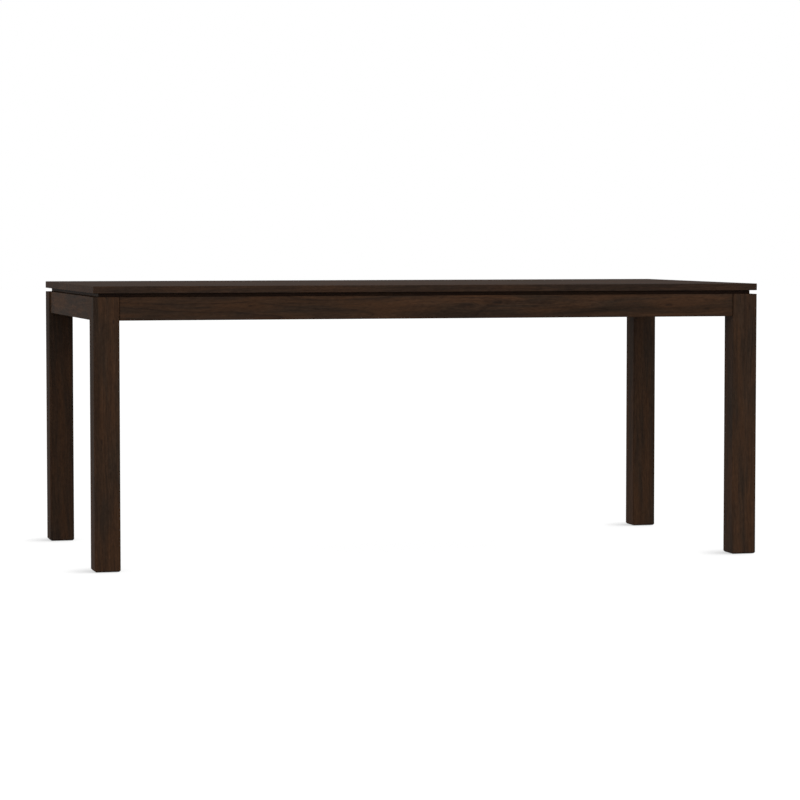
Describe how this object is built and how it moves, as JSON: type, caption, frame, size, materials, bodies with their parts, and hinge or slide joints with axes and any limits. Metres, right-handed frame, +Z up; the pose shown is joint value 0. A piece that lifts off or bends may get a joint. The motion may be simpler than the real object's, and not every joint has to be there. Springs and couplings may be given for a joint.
{
  "type": "dining table",
  "caption": "Rectangular solid wood dining table with square corner legs, plain aprons and a thin floating top on a recessed spacer frame.",
  "frame": {"origin": "on the floor, under the middle of the top", "axes": "+X along the table's length to the right, +Y across it to the back, +Z up"},
  "size_m": [1.875, 0.91, 0.762],
  "materials": {
    "espresso_wood_top": "espresso stain under satin lacquer",
    "espresso_wood_base": "espresso stain under satin lacquer",
    "dark_stained_spacer": "dark stain, matt",
    "unstained_hardwood": "planed, unfinished",
    "zinc_steel": "bright zinc plate",
    "nylon": "moulded, matt"
  },
  "bodies": {
    "root": {"top_board_1": "espresso_wood_top", "top_board_2": "espresso_wood_top", "top_board_3": "espresso_wood_top", "top_board_4": "espresso_wood_top", "top_board_5": "espresso_wood_top", "top_board_6": "espresso_wood_top", "top_board_7": "espresso_wood_top", "spacer_rail_front": "dark_stained_spacer", "spacer_rail_back": "dark_stained_spacer", "spacer_rail_left": "dark_stained_spacer", "spacer_rail_right": "dark_stained_spacer", "cross_spacer_1": "dark_stained_spacer", "cross_spacer_2": "dark_stained_spacer", "leg_front_left": "espresso_wood_base", "leg_front_right": "espresso_wood_base", "leg_back_left": "espresso_wood_base", "leg_back_right": "espresso_wood_base", "apron_front": "espresso_wood_base", "apron_back": "espresso_wood_base", "apron_left": "espresso_wood_base", "apron_right": "espresso_wood_base", "corner_block_front_left": "unstained_hardwood", "corner_block_front_right": "unstained_hardwood", "corner_block_back_left": "unstained_hardwood", "corner_block_back_right": "unstained_hardwood", "cross_rail_1": "unstained_hardwood", "cross_rail_2": "unstained_hardwood", "foot_glides": "nylon", "hanger_bolts": "zinc_steel", "leg_nuts": "zinc_steel", "leg_washers": "zinc_steel", "top_screws": "zinc_steel"}
  },
  "joints": []
}
